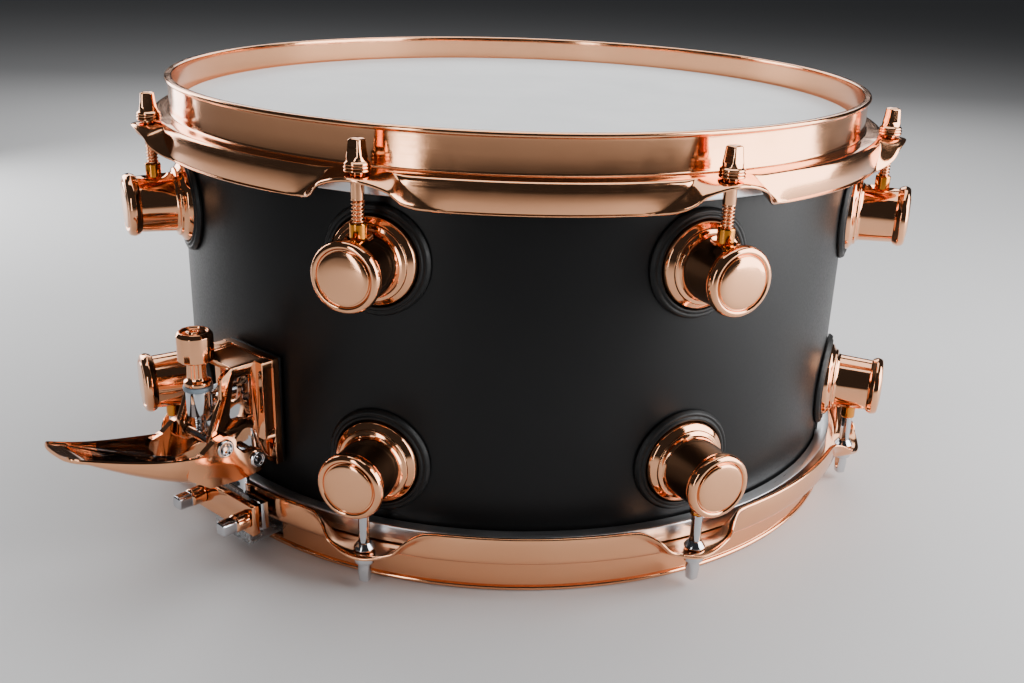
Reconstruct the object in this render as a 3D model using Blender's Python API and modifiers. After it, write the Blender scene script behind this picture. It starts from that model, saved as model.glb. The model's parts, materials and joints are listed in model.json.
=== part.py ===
"""Snare drum, 14 inches across and 7 inches deep, as separate pieces.

Metres, +Z up. The origin is the centre of the batter head's playing surface.
The throw-off (strainer) stands on -X and the butt plate on +X. Eight lugs
a side are spaced 45 degrees apart, starting at 22.5 degrees.
"""

import math

import bmesh
import bpy
from mathutils import Matrix, Vector

MM = 0.001
GAP = 0.3 * MM

# Shell
SHELL_R = 177.8 * MM
SHELL_DEPTH = 177.8 * MM
SHELL_WALL = 8.0 * MM
FILM = 0.6 * MM
SHELL_TOP = -FILM - GAP
SHELL_BOTTOM = SHELL_TOP - SHELL_DEPTH
MID_Z = (SHELL_TOP + SHELL_BOTTOM) / 2
RING_STEPS = 64

# Hoops: heights are measured upwards from the head that the hoop holds down
HOOP_SHEET = 2.3 * MM
WALL_R = 180.65 * MM
BEAD_Z = 12.3 * MM
FLANGE_Z = -4.95 * MM
SKIRT_LENGTH = 10.5 * MM
EAR_HALF_ANGLE = math.radians(9.5)
EAR_DROOP = math.radians(3.0)

# Lugs and tension rods
LUG_COUNT = 8
FIRST_LUG = math.radians(22.5)
LUG_Z = 43.7 * MM
ROD_CIRCLE = 193.8 * MM
ROD_R = 2.75 * MM
RECEIVER_TOP = 19.6 * MM
WASHER_SEAT = -3.4 * MM
LUG_STEPS = 12

# Throw-off and butt plate, in a frame whose X runs outward from the drum's
# axis, Y across and Z up, with Z measured from the shell's mid-plane
PLATE_R = 178.2 * MM
SCREW_AXIS_R = 210.0 * MM
LEVER_PIVOT = Vector((210.0, 0.0, -43.0)) * MM
LEVER_RAISED = math.radians(14.0)
CAM_PIN = (-19.0 * MM, -6.5 * MM)
CLAMP_TOP = -74.5 * MM
CLAMP_BOTTOM = -89.5 * MM
INNER_JAW_LOW = CLAMP_BOTTOM + 1.6 * MM
STRAP_LEVEL = -98.3 * MM
CLAMP_SCREW_Y = 17.5 * MM
CLAMP_HALF = 22.5 * MM
STRAP_HALF = 13.5 * MM
STRAP = 0.8 * MM
SLIDE_TRAVEL = 5.0 * MM

# The lever's trough, in plain millimetres
LEVER_LENGTH = 69.0
LEVER_SKIN = 2.2
HALF_WIDTH = 17.6
TIP_HALF_WIDTH = 12.8
TROUGH_DEPTH = 17.2
TIP_DEPTH = 2.5

# Snare wires
WIRE_COUNT = 20
WIRE_PITCH = 2.1 * MM
WIRE_R = 0.8 * MM
WIRE_PIVOT_X = 150.0 * MM


# ---------------------------------------------------------------- helpers


def clear_scene():
    for obj in list(bpy.data.objects):
        bpy.data.objects.remove(obj, do_unlink=True)


def collection(name):
    found = bpy.data.collections.new(name)
    bpy.context.scene.collection.children.link(found)
    return found


clear_scene()
DRUM = collection("snare_drum")
CUTTERS = collection("cutters")


def material(name, colour, metallic, roughness):
    made = bpy.data.materials.new(name)
    made.use_nodes = True
    shader = made.node_tree.nodes["Principled BSDF"]
    shader.inputs["Base Color"].default_value = (*colour, 1.0)
    shader.inputs["Metallic"].default_value = metallic
    shader.inputs["Roughness"].default_value = roughness
    return made


COPPER = material("copper_plate", (0.86, 0.46, 0.28), 1.0, 0.12)
BRASS = material("brass", (0.80, 0.42, 0.13), 1.0, 0.20)
STEEL = material("chromed_steel", (0.72, 0.73, 0.75), 1.0, 0.12)
BLACK = material("satin_black", (0.012, 0.012, 0.013), 0.0, 0.45)
RUBBER = material("black_rubber", (0.015, 0.015, 0.015), 0.0, 0.60)
COATED = material("coated_film", (0.78, 0.79, 0.80), 0.0, 0.65)
CLEAR = material("clear_film", (0.80, 0.82, 0.83), 0.0, 0.25)
ALLOY = material("aluminium", (0.66, 0.67, 0.69), 1.0, 0.35)
NYLON = material("grey_nylon", (0.30, 0.36, 0.42), 0.0, 0.45)


def add(name, mesh, finish, home=DRUM):
    obj = bpy.data.objects.new(name, mesh)
    home.objects.link(obj)
    if finish is not None and not mesh.materials:
        mesh.materials.append(finish)
    return obj


def mesh_of(bm, name, smooth_angle=35.0):
    bmesh.ops.recalc_face_normals(bm, faces=bm.faces)
    mesh = bpy.data.meshes.new(name)
    bm.to_mesh(mesh)
    bm.free()
    mesh.shade_smooth()
    mesh.set_sharp_from_angle(angle=math.radians(smooth_angle))
    return mesh


def evaluated_mesh(obj):
    """The object's mesh with its modifiers applied; the object is removed."""
    bpy.context.view_layer.update()
    graph = bpy.context.evaluated_depsgraph_get()
    mesh = bpy.data.meshes.new_from_object(obj.evaluated_get(graph))
    bm = bmesh.new()
    bm.from_mesh(mesh)
    bm.transform(obj.matrix_world)
    bmesh.ops.remove_doubles(bm, verts=bm.verts, dist=0.002 * MM)
    bm.to_mesh(mesh)
    bm.free()
    mesh.set_sharp_from_angle(angle=math.radians(35.0))
    bpy.data.objects.remove(obj, do_unlink=True)
    return mesh


def turned(name, points, steps, finish, closed=False, home=DRUM):
    """A profile of (radius, height) turned round Z by a Screw modifier. It
    runs down the outer side; a closed one comes back up the inner side."""
    bm = bmesh.new()
    verts = [bm.verts.new((r, 0.0, z)) for r, z in points]
    for low, high in zip(verts, verts[1:]):
        bm.edges.new((low, high))
    if closed:
        bm.edges.new((verts[-1], verts[0]))
    mesh = bpy.data.meshes.new(name)
    bm.to_mesh(mesh)
    bm.free()
    obj = add(name, mesh, finish, home)
    screw = obj.modifiers.new("Turn", "SCREW")
    screw.axis = "Z"
    screw.angle = math.tau
    screw.steps = steps
    screw.render_steps = steps
    screw.use_merge_vertices = True
    screw.merge_threshold = 0.00002
    screw.use_smooth_shade = True
    return obj


def cylinder(name, radius, start, end, sides, finish, home=DRUM):
    """A cylinder between two points."""
    start = Vector(start)
    end = Vector(end)
    run = end - start
    turn = run.to_track_quat("Z", "Y").to_matrix().to_4x4()
    bm = bmesh.new()
    bmesh.ops.create_cone(
        bm,
        cap_ends=True,
        segments=sides,
        radius1=radius,
        radius2=radius,
        depth=run.length,
        matrix=Matrix.Translation((start + end) / 2) @ turn,
    )
    return add(name, mesh_of(bm, name), finish, home)


def box(name, low, high, finish, home=DRUM):
    low = Vector(low)
    high = Vector(high)
    bm = bmesh.new()
    place = Matrix.Translation((low + high) / 2) @ Matrix.Diagonal((*(high - low), 1.0))
    bmesh.ops.create_cube(bm, size=1.0, matrix=place)
    return add(name, mesh_of(bm, name), finish, home)


def sheet(name, outline, y_low, y_high, finish, home=DRUM):
    """A flat outline of (x, z) points as a plate from y_low to y_high."""
    curve = bpy.data.curves.new(name, "CURVE")
    curve.dimensions = "2D"
    curve.fill_mode = "BOTH"
    curve.extrude = (y_high - y_low) / 2
    spline = curve.splines.new("POLY")
    spline.points.add(len(outline) - 1)
    for point, (x, z) in zip(spline.points, outline):
        point.co = (x, z, 0.0, 1.0)
    spline.use_cyclic_u = True
    obj = bpy.data.objects.new(name + "_outline", curve)
    CUTTERS.objects.link(obj)
    obj.matrix_world = Matrix.Translation((0.0, (y_low + y_high) / 2, 0.0)) @ Matrix.Rotation(
        math.pi / 2, 4, "X"
    )
    mesh = evaluated_mesh(obj)
    mesh.name = name
    return add(name, mesh, finish, home)


def helper(obj):
    """Marks an object as a cutter: kept out of renders and drawn as wire."""
    for home in list(obj.users_collection):
        home.objects.unlink(obj)
    CUTTERS.objects.link(obj)
    obj.hide_render = True
    obj.display_type = "WIRE"
    return obj


def boolean(obj, other, operation):
    modifier = obj.modifiers.new(operation.title(), "BOOLEAN")
    modifier.operation = operation
    modifier.solver = "EXACT"
    modifier.object = helper(other)


def merged(name, objects):
    """Separate closed bodies joined into one cutter object."""
    bm = bmesh.new()
    for obj in objects:
        bm.from_mesh(obj.data)
        bpy.data.objects.remove(obj, do_unlink=True)
    mesh = bpy.data.meshes.new(name)
    bm.to_mesh(mesh)
    bm.free()
    return add(name, mesh, None, CUTTERS)


def turn_over(*objects):
    """Turns pieces made for the batter side over to the snare side."""
    for obj in objects:
        obj.location.z = 2 * MID_Z
        obj.rotation_euler.x = math.pi


def lug_angles():
    return [FIRST_LUG + k * math.tau / LUG_COUNT for k in range(LUG_COUNT)]


# ------------------------------------------------------------------ shell


def make_shell():
    inner = SHELL_R - SHELL_WALL
    edge = 2.5 * MM
    cut = SHELL_WALL - edge
    profile = [
        (SHELL_R - edge, SHELL_TOP),
        (SHELL_R, SHELL_TOP - edge),
        (SHELL_R, SHELL_BOTTOM + edge),
        (SHELL_R - edge, SHELL_BOTTOM),
        (inner, SHELL_BOTTOM + cut),
        (inner, SHELL_TOP - cut),
    ]
    shell = turned("shell", profile, RING_STEPS, BLACK, closed=True)
    vent = cylinder(
        "vent_hole", 6.0 * MM, (160 * MM, 0, MID_Z), (190 * MM, 0, MID_Z), 16, None
    )
    vent.rotation_euler.z = math.radians(45.0)
    boolean(shell, vent, "DIFFERENCE")


def make_vent_grommet():
    outside = SHELL_R - 0.02 * MM + GAP
    inside = SHELL_R - SHELL_WALL - 0.8 * MM
    profile = [
        (3.5 * MM, outside + 1.6 * MM),
        (7.6 * MM, outside + 1.0 * MM),
        (8.2 * MM, outside),
        (5.6 * MM, outside),
        (5.6 * MM, inside),
        (8.0 * MM, inside),
        (8.0 * MM, inside - 0.8 * MM),
        (3.5 * MM, inside - 0.8 * MM),
    ]
    grommet = turned("vent_grommet", profile, 16, COPPER, closed=True)
    grommet.location = (0.0, 0.0, MID_Z)
    grommet.rotation_euler = (0.0, math.pi / 2, math.radians(45.0))


# ------------------------------------------------------------------ heads


def make_head(side, film_finish):
    """The film with its formed collar, and the ring that grips the film."""
    film_profile = [
        (0.0, 0.0),
        (176.6 * MM, 0.0),
        (178.8 * MM, -2.4 * MM),
        (178.8 * MM, -8.0 * MM),
        (178.15 * MM, -8.0 * MM),
        (178.15 * MM, -3.2 * MM),
        (175.6 * MM, -FILM),
        (0.0, -FILM),
    ]
    ring_profile = [
        (179.1 * MM, -6.6 * MM),
        (184.4 * MM, -6.6 * MM),
        (184.8 * MM, -7.2 * MM),
        (184.8 * MM, -15.0 * MM),
        (179.1 * MM, -15.0 * MM),
    ]
    film = turned(f"{side}_film", film_profile, RING_STEPS, film_finish)
    ring = turned(f"{side}_collar", ring_profile, RING_STEPS, ALLOY, closed=True)
    if side == "snare":
        turn_over(film, ring)


# ------------------------------------------------------------------ hoops


def fold_angle(angle):
    """How far the hoop's skirt is folded down: nearly flat at an ear."""
    pitch = math.tau / LUG_COUNT
    away = abs((angle - FIRST_LUG + pitch / 2) % pitch - pitch / 2)
    share = min(away / EAR_HALF_ANGLE, 1.0)
    eased = share * share * (3.0 - 2.0 * share)
    return EAR_DROOP + (math.radians(88.0) - EAR_DROOP) * eased


def hoop_line(fold):
    """The middle of the sheet from rim bead to skirt edge, as (r, z)."""
    bend_r = 188.3 * MM
    bend = 1.8 * MM
    line = [
        (WALL_R + 1.9 * MM, BEAD_Z),
        (WALL_R, BEAD_Z),
        (WALL_R, FLANGE_Z),
        (bend_r, FLANGE_Z),
    ]
    after_r = bend_r + bend * math.sin(fold)
    after_z = FLANGE_Z - bend * (1.0 - math.cos(fold))
    line.append((after_r, after_z))
    tip_r = after_r + SKIRT_LENGTH * math.cos(fold)
    tip_z = after_z - SKIRT_LENGTH * math.sin(fold)
    line.append((tip_r, tip_z))
    return [Vector(point) for point in line]


def thickened(line, thickness):
    """A closed outline at half the thickness each side of a line."""
    near = []
    far = []
    for i, point in enumerate(line):
        before = line[max(i - 1, 0)]
        after = line[min(i + 1, len(line) - 1)]
        into = (point - before).normalized() if i else (after - point).normalized()
        out = (after - point).normalized() if i < len(line) - 1 else into
        along = (into + out).normalized()
        across = Vector((-along.y, along.x))
        reach = thickness / 2 / max(along.dot(into), 0.5)
        near.append(point + across * reach)
        far.append(point - across * reach)
    return near + far[::-1]


def hoop_angles():
    """Angles round the hoop, closer together across each ear."""
    pitch = math.tau / LUG_COUNT
    half = [EAR_HALF_ANGLE * share for share in (0.0, 0.3, 0.55, 0.8, 1.0)]
    half += [(EAR_HALF_ANGLE + pitch / 2) / 2, pitch / 2]
    steps = [-a for a in reversed(half[1:-1])] + half
    return [lug + step for lug in lug_angles() for step in steps]


def make_hoop(name, slots):
    bm = bmesh.new()
    rings = []
    for angle in hoop_angles():
        outline = thickened(hoop_line(fold_angle(angle)), HOOP_SHEET)
        place = Matrix.Rotation(angle, 3, "Z")
        rings.append([bm.verts.new(place @ Vector((r, 0.0, z))) for r, z in outline])
    count = len(rings[0])
    for ring, following in zip(rings, rings[1:] + rings[:1]):
        for i in range(count):
            j = (i + 1) % count
            bm.faces.new((ring[i], ring[j], following[j], following[i]))
    hoop = add(name, mesh_of(bm, name), COPPER)
    holes = []
    for angle in lug_angles():
        x = ROD_CIRCLE * math.cos(angle)
        y = ROD_CIRCLE * math.sin(angle)
        hole = cylinder(
            "rod_hole", 3.25 * MM, (x, y, -20 * MM), (x, y, 5 * MM), 12, None
        )
        holes.append(hole)
    cutter = merged(f"{name}_holes", holes)
    boolean(hoop, cutter, "DIFFERENCE")
    if slots:
        turn_over(hoop, cutter)
        half = STRAP_HALF + 4.0 * MM
        low = STRAP_LEVEL - 2.0 * MM
        high = low + 8.5 * MM
        gate = box(
            "strap_gates",
            (-200 * MM, -half, MID_Z + low),
            (200 * MM, half, MID_Z + high),
            None,
        )
        boolean(hoop, gate, "DIFFERENCE")


# ------------------------------------------------------- lugs and rods


def lug_mesh():
    """A turned lug with its receiver tube. X points out of the drum."""
    base = SHELL_R + GAP
    profile = [
        (0.0, 31.0),
        (11.6, 30.8),
        (15.2, 28.5),
        (13.4, 24.4),
        (14.2, 8.4),
        (19.6, 6.4),
        (22.2, 3.0),
        (22.2, 0.0),
        (0.0, 0.0),
    ]
    points = [(r * MM, d * MM) for r, d in profile]
    body = turned("lug_body", points, LUG_STEPS, COPPER)
    body.location.x = base
    body.rotation_euler.y = math.pi / 2
    tube = cylinder(
        "receiver",
        4.3 * MM,
        (ROD_CIRCLE, 0, 4.0 * MM),
        (ROD_CIRCLE, 0, RECEIVER_TOP),
        12,
        BRASS,
    )
    boolean(body, tube, "UNION")
    bore = cylinder(
        "receiver_bore",
        ROD_R + 0.4 * MM,
        (ROD_CIRCLE, 0, RECEIVER_TOP - 11.0 * MM),
        (ROD_CIRCLE, 0, RECEIVER_TOP + 5 * MM),
        12,
        None,
    )
    boolean(body, bore, "DIFFERENCE")
    mesh = evaluated_mesh(body)
    mesh.name = "lug"
    return mesh


def rod_mesh():
    """A tension rod with its two washers, from the key head down."""
    collar = WASHER_SEAT + 2.6 * MM
    end = MID_Z + LUG_Z + RECEIVER_TOP - 10.4 * MM
    profile = [
        (0.0, collar + 6.0 * MM),
        (3.4 * MM, collar + 6.0 * MM),
        (5.6 * MM, collar + 1.2 * MM),
        (6.5 * MM, collar),
        (6.5 * MM, WASHER_SEAT),
        (ROD_R, WASHER_SEAT),
        (ROD_R, end),
        (0.0, end),
    ]
    rod = turned("rod_body", profile, 8, COPPER)
    half = 3.175 * MM
    head = box("key_head", (-half, -half, collar), (half, half, 9.7 * MM), None)
    boolean(rod, head, "UNION")
    mesh = evaluated_mesh(rod)
    mesh.name = "tension_rod"
    return mesh


def make_lugs_and_rods():
    lug = lug_mesh()
    rod = rod_mesh()
    for side in ("batter", "snare"):
        flip = math.pi if side == "snare" else 0.0
        for number, angle in enumerate(lug_angles(), 1):
            holder = add(f"{side}_lug_{number}", lug, None)
            over = Matrix.Rotation(flip, 4, "X")
            height = MID_Z + (LUG_Z if side == "batter" else -LUG_Z)
            turn = Matrix.Rotation(angle, 4, "Z")
            holder.matrix_world = Matrix.Translation((0, 0, height)) @ turn @ over
            pin = add(f"{side}_rod_{number}", rod, None)
            x = ROD_CIRCLE * math.cos(angle)
            y = ROD_CIRCLE * math.sin(angle)
            z = 2 * MID_Z if side == "snare" else 0.0
            pin.matrix_world = Matrix.Translation((x, y, z)) @ turn @ over


# --------------------------------------------------- throw-off and butt


def station(name, turn):
    """An empty whose X points out of the drum and whose Z starts mid-shell."""
    empty = bpy.data.objects.new(name, None)
    DRUM.objects.link(empty)
    empty.location.z = MID_Z
    empty.rotation_euler.z = turn
    return empty


def fix(obj, parent):
    """Parents an object built in the parent's own frame, with its cutters."""
    bpy.context.view_layer.update()
    place = parent.matrix_world.copy()
    for modifier in obj.modifiers:
        if modifier.type == "BOOLEAN":
            modifier.object.matrix_world = place @ modifier.object.matrix_world
    world = place @ obj.matrix_world
    obj.parent = parent
    obj.matrix_parent_inverse = Matrix.Identity(4)
    obj.matrix_basis = parent.matrix_world.inverted() @ world
    return obj


def make_throwoff(frame):
    """The U-shaped housing on the shell, with its gasket and lever pin."""
    low = -60.0 * MM
    high = -8.0 * MM
    half = 18.5 * MM
    pad = box("pad", (PLATE_R, -half, low), (PLATE_R + 1.2 * MM, half, high), RUBBER)
    pad.name = "throwoff_gasket"
    fix(pad, frame)
    back = PLATE_R + 1.5 * MM
    housing = box("housing", (back, -half, low), (back + 3.5 * MM, half, high), COPPER)
    housing.name = "throwoff_housing"
    cheek = [
        (181.0, -8.6),
        (202.0, -8.6),
        (207.0, -12.0),
        (207.5, -21.0),
        (214.5, -38.0),
        (215.5, -45.0),
        (211.0, -48.5),
        (205.0, -46.0),
        (196.0, -38.0),
        (190.0, -41.0),
        (187.0, -53.0),
        (181.0, -59.0),
    ]
    outline = [(x * MM, z * MM) for x, z in cheek]
    inner = 10.6 * MM
    outer = 13.4 * MM
    for side in (-1, 1):
        y_low, y_high = sorted((side * inner, side * outer))
        boolean(housing, sheet("cheek", outline, y_low, y_high, None), "UNION")
    bridge = box(
        "bridge", (182 * MM, -12 * MM, -11.6 * MM), (200 * MM, 12 * MM, -8.9 * MM), None
    )
    boolean(housing, bridge, "UNION")
    x, _, z = LEVER_PIVOT
    bore = cylinder("pin_bore", 2.4 * MM, (x, -20 * MM, z), (x, 20 * MM, z), 12, None)
    boolean(housing, bore, "DIFFERENCE")
    fix(housing, frame)
    pin = cylinder("lever_pin", 2.0 * MM, (x, -19 * MM, z), (x, 19 * MM, z), 12, STEEL)
    fix(pin, frame)


def make_carriage(frame):
    """The slide that the lever lifts: bar, screw barrel and clamp foot."""
    bar = box(
        "throwoff_carriage",
        (184.2 * MM, -9.0 * MM, -61.5 * MM),
        (190.0 * MM, 9.0 * MM, -17.5 * MM),
        STEEL,
    )
    arm = box("arm", (189 * MM, -4.5 * MM, -30 * MM), (206 * MM, 4.5 * MM, -22 * MM), None)
    boolean(bar, arm, "UNION")
    barrel = cylinder(
        "barrel",
        5.7 * MM,
        (SCREW_AXIS_R, 0, -31.2 * MM),
        (SCREW_AXIS_R, 0, -19.8 * MM),
        16,
        None,
    )
    boolean(bar, barrel, "UNION")
    foot = box(
        "foot", (192.2 * MM, -9 * MM, CLAMP_TOP - MM), (196 * MM, 9 * MM, -57 * MM), None
    )
    boolean(bar, foot, "UNION")
    step = box("step", (187 * MM, -8 * MM, -61 * MM), (194 * MM, 8 * MM, -57.5 * MM), None)
    boolean(bar, step, "UNION")
    jaw = box(
        "jaw",
        (192.4 * MM, -CLAMP_HALF, INNER_JAW_LOW),
        (196.1 * MM, CLAMP_HALF, CLAMP_TOP),
        None,
    )
    boolean(bar, jaw, "UNION")
    bore = cylinder(
        "barrel_bore",
        2.8 * MM,
        (SCREW_AXIS_R, 0, -38 * MM),
        (SCREW_AXIS_R, 0, -14 * MM),
        12,
        None,
    )
    boolean(bar, bore, "DIFFERENCE")
    boolean(bar, screw_holes("carriage_holes", 0.0), "DIFFERENCE")
    fix(bar, frame)


def make_knob(frame):
    """The fine-tension knob with its nylon washer and threaded spindle."""
    knob_profile = [
        (0.0, 8.0),
        (6.6, 8.0),
        (8.1, 6.6),
        (8.1, -5.4),
        (4.4, -6.2),
        (4.2, -14.2),
        (6.2, -16.2),
        (6.2, -17.0),
        (0.0, -17.0),
    ]
    washer_profile = [(2.9, -17.3), (6.7, -17.3), (6.7, -19.5), (2.9, -19.5)]
    knob = turned("tension_knob", [(r * MM, z * MM) for r, z in knob_profile], 16, COPPER)
    washer_points = [(r * MM, z * MM) for r, z in washer_profile]
    washer = turned("tension_washer", washer_points, 16, NYLON, closed=True)
    for obj in (knob, washer):
        obj.location.x = SCREW_AXIS_R
        fix(obj, frame)
    spindle = cylinder(
        "tension_spindle",
        2.4 * MM,
        (SCREW_AXIS_R, 0, -39.8 * MM),
        (SCREW_AXIS_R, 0, -17.3 * MM),
        10,
        STEEL,
    )
    fix(spindle, frame)


def screw_holes(name, lift):
    """Cutters for the two screws of a strap clamp."""
    z = (CLAMP_TOP + CLAMP_BOTTOM) / 2 + lift
    holes = []
    for y in (-CLAMP_SCREW_Y, CLAMP_SCREW_Y):
        hole = cylinder(
            name, 2.5 * MM, (188 * MM, y, z), (206 * MM, y, z), 10, None
        )
        holes.append(hole)
    return merged(name, holes)


def make_clamp(frame, label, lift):
    """The outer jaw of a strap clamp and its two key screws."""
    jaw = box(
        f"{label}_clamp",
        (197.6 * MM, -CLAMP_HALF, CLAMP_BOTTOM + lift),
        (201.2 * MM, CLAMP_HALF, CLAMP_TOP + lift),
        COPPER,
    )
    boolean(jaw, screw_holes(f"{label}_jaw_holes", lift), "DIFFERENCE")
    fix(jaw, frame)
    z = (CLAMP_TOP + CLAMP_BOTTOM) / 2 + lift
    profile = [
        (0.0, 215.5),
        (3.1, 215.5),
        (3.2, 208.4),
        (4.3, 207.6),
        (4.3, 201.5),
        (2.2, 201.5),
        (2.2, 192.8),
        (0.0, 192.8),
    ]
    points = [(r * MM, x * MM) for r, x in profile]
    for number, y in enumerate((-CLAMP_SCREW_Y, CLAMP_SCREW_Y), 1):
        screw = turned(f"{label}_clamp_screw_{number}", points, 10, STEEL)
        screw.location = (0.0, y, z)
        screw.rotation_euler.y = math.pi / 2
        fix(screw, frame)


def make_strap(frame, label, lift):
    """A strap from under the wires' end plate, out through the gate and up
    into its clamp."""
    height = STRAP_LEVEL + lift
    end = CLAMP_TOP + lift + MM
    outline = [
        (139.0 * MM, height),
        (196.4 * MM, height),
        (196.4 * MM, end),
        (197.2 * MM, end),
        (197.2 * MM, height - STRAP),
        (139.0 * MM, height - STRAP),
    ]
    strap = sheet(f"{label}_strap", outline, -STRAP_HALF, STRAP_HALF, CLEAR)
    fix(strap, frame)


def make_butt(frame):
    """The fixed clamp opposite the throw-off."""
    half = 18.5 * MM
    block = box(
        "butt_plate",
        (PLATE_R, -half, -61 * MM),
        (PLATE_R + 5 * MM, half, -26 * MM),
        COPPER,
    )
    rib = [
        (182.0, -28.0),
        (190.0, -36.0),
        (196.0, -52.0),
        (196.0, -72.0),
        (192.4, -72.0),
        (192.4, -60.5),
        (182.0, -60.5),
    ]
    outline = [(x * MM, z * MM) for x, z in rib]
    boolean(block, sheet("rib", outline, -12 * MM, 12 * MM, None), "UNION")
    jaw = box(
        "butt_jaw",
        (192.3 * MM, -CLAMP_HALF, INNER_JAW_LOW + SLIDE_TRAVEL),
        (196.1 * MM, CLAMP_HALF, CLAMP_TOP + SLIDE_TRAVEL),
        None,
    )
    boolean(block, jaw, "UNION")
    boolean(block, screw_holes("butt_holes", SLIDE_TRAVEL), "DIFFERENCE")
    fix(block, frame)


# ------------------------------------------------------------------ lever


def lever_section(s):
    """Half width, floor height and rim height of the lever's trough at
    distance s from the pivot, in millimetres."""
    share = max(0.0, min(1.0, (s - 20.0) / (LEVER_LENGTH - 20.0)))
    eased = share * share * (3.0 - 2.0 * share)
    half = HALF_WIDTH + (TIP_HALF_WIDTH - HALF_WIDTH) * eased
    rim = -4.1 + 3.5 * ((s - 28.0) / 40.0) ** 2
    depth = max(TIP_DEPTH, TROUGH_DEPTH - 0.24 * s)
    return half, rim - depth, rim


def make_lever(frame):
    """The trough-shaped lever. Its own X runs along it from the pivot, and
    its parent empty sits on the hinge axis."""
    hinge = bpy.data.objects.new("lever_hinge", None)
    DRUM.objects.link(hinge)
    hinge.parent = frame
    hinge.location = LEVER_PIVOT
    hinge.rotation_euler.y = -LEVER_RAISED
    stations = [3.0, 8.0, 14.0, 22.0, 30.0, 38.0, 46.0, 54.0, 60.0, 65.0, 67.6, 69.0]
    skin = LEVER_SKIN
    bm = bmesh.new()
    rings = []
    for s in stations:
        half, floor, rim = lever_section(s)
        if s > 65.0:
            half -= 4.2 * (1.0 - math.sqrt(1.0 - ((s - 65.0) / 4.2) ** 2))
        corner = min(5.0, (rim - floor) * 0.6)
        outer = [
            (-half, rim),
            (-half, floor + corner),
            (-half + corner, floor),
            (half - corner, floor),
            (half, floor + corner),
            (half, rim),
        ]
        lift = floor + skin
        inside = min(corner, max(rim - lift, 0.4) * 0.6)
        inner = [
            (half - skin, rim),
            (half - skin, lift + inside),
            (half - corner, lift),
            (-half + corner, lift),
            (-half + skin, lift + inside),
            (-half + skin, rim),
        ]
        ring = [bm.verts.new((s * MM, y * MM, z * MM)) for y, z in outer + inner]
        rings.append(ring)
    count = len(rings[0])
    for ring, following in zip(rings, rings[1:]):
        for i in range(count):
            j = (i + 1) % count
            bm.faces.new((ring[i], ring[j], following[j], following[i]))
    bm.faces.new(rings[0])
    bm.faces.new(rings[-1])
    lever = add("throwoff_lever", mesh_of(bm, "throwoff_lever"), COPPER)
    arm = [
        (-6.0, 4.5),
        (3.0, 5.0),
        (10.0, 0.5),
        (16.0, -5.0),
        (16.0, -14.0),
        (4.0, -18.5),
        (-12.0, -16.0),
        (-23.5, -11.0),
        (-24.0, -4.0),
        (-19.5, -1.0),
        (-12.0, -3.5),
    ]
    outline = [(x * MM, z * MM) for x, z in arm]
    for side in (-1, 1):
        y_low, y_high = sorted((side * 14.0 * MM, side * 17.4 * MM))
        boolean(lever, sheet("yoke_arm", outline, y_low, y_high, None), "UNION")
    pin_bore = cylinder(
        "lever_bore", 2.3 * MM, (0, -25 * MM, 0), (0, 25 * MM, 0), 12, None
    )
    x, z = CAM_PIN
    cam_bore = cylinder(
        "cam_bore", 2.6 * MM, (x, -25 * MM, z), (x, 25 * MM, z), 12, None
    )
    boolean(lever, pin_bore, "DIFFERENCE")
    boolean(lever, cam_bore, "DIFFERENCE")
    fix(lever, hinge)
    for number, side in enumerate((1, -1), 1):
        start = (x, side * 13.6 * MM, z)
        end = (x, side * 19.0 * MM, z)
        fix(cylinder(f"cam_pin_{number}", 2.2 * MM, start, end, 12, STEEL), hinge)


# ------------------------------------------------------------ snare wires


def make_wires():
    """Straight strands between two end plates, hinged at the butt end and
    hanging a little open at the other."""
    drop = SLIDE_TRAVEL
    tilt = math.asin(drop / (2 * WIRE_PIVOT_X))
    top = 2 * MID_Z - GAP
    plate = 1.0 * MM
    reach = 2 * WIRE_PIVOT_X
    plate_low = -0.2 * MM - 2 * WIRE_R - plate
    half = (WIRE_COUNT - 1) * WIRE_PITCH / 2 + WIRE_R
    grip = 9.0 * MM
    comb = box(
        "snare_wires",
        (-grip, -half, plate_low),
        (grip, half, plate_low + 1.4 * MM),
        STEEL,
    )
    far_plate = box(
        "far_plate",
        (-reach - grip, -half, plate_low),
        (-reach + grip, half, plate_low + 1.4 * MM),
        None,
    )
    strands = []
    for k in range(WIRE_COUNT):
        y = (k - (WIRE_COUNT - 1) / 2) * WIRE_PITCH
        strand = box(
            "strand",
            (-reach - 6 * MM, y - WIRE_R * 0.8, -0.2 * MM - 2 * WIRE_R),
            (6 * MM, y + WIRE_R * 0.8, -0.2 * MM),
            None,
        )
        strands.append(strand)
    boolean(comb, merged("strands", strands), "UNION")
    boolean(comb, far_plate, "UNION")
    hinge = bpy.data.objects.new("wires_hinge", None)
    DRUM.objects.link(hinge)
    hinge.location = (WIRE_PIVOT_X, 0.0, top)
    hinge.rotation_euler.y = -tilt
    fix(comb, hinge)


# ------------------------------------------------------------------ build


make_shell()
make_vent_grommet()
make_head("batter", COATED)
make_head("snare", CLEAR)
make_hoop("batter_hoop", slots=False)
make_hoop("snare_hoop", slots=True)
make_lugs_and_rods()
THROWOFF = station("throwoff_frame", math.pi)
BUTT = station("butt_frame", 0.0)
make_throwoff(THROWOFF)
make_carriage(THROWOFF)
make_knob(THROWOFF)
make_clamp(THROWOFF, "throwoff", 0.0)
make_strap(THROWOFF, "throwoff", 0.0)
make_lever(THROWOFF)
make_butt(BUTT)
make_clamp(BUTT, "butt", SLIDE_TRAVEL)
make_strap(BUTT, "butt", SLIDE_TRAVEL)
make_wires()
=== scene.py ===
"""Looks of the snare drum: fine surfaces, materials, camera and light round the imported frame.

Everything is in metres in the row frame. Sizes written times MM are millimetres.
"""

import json
import math

import bmesh
import bpy
from mathutils import Matrix, Vector


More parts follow.
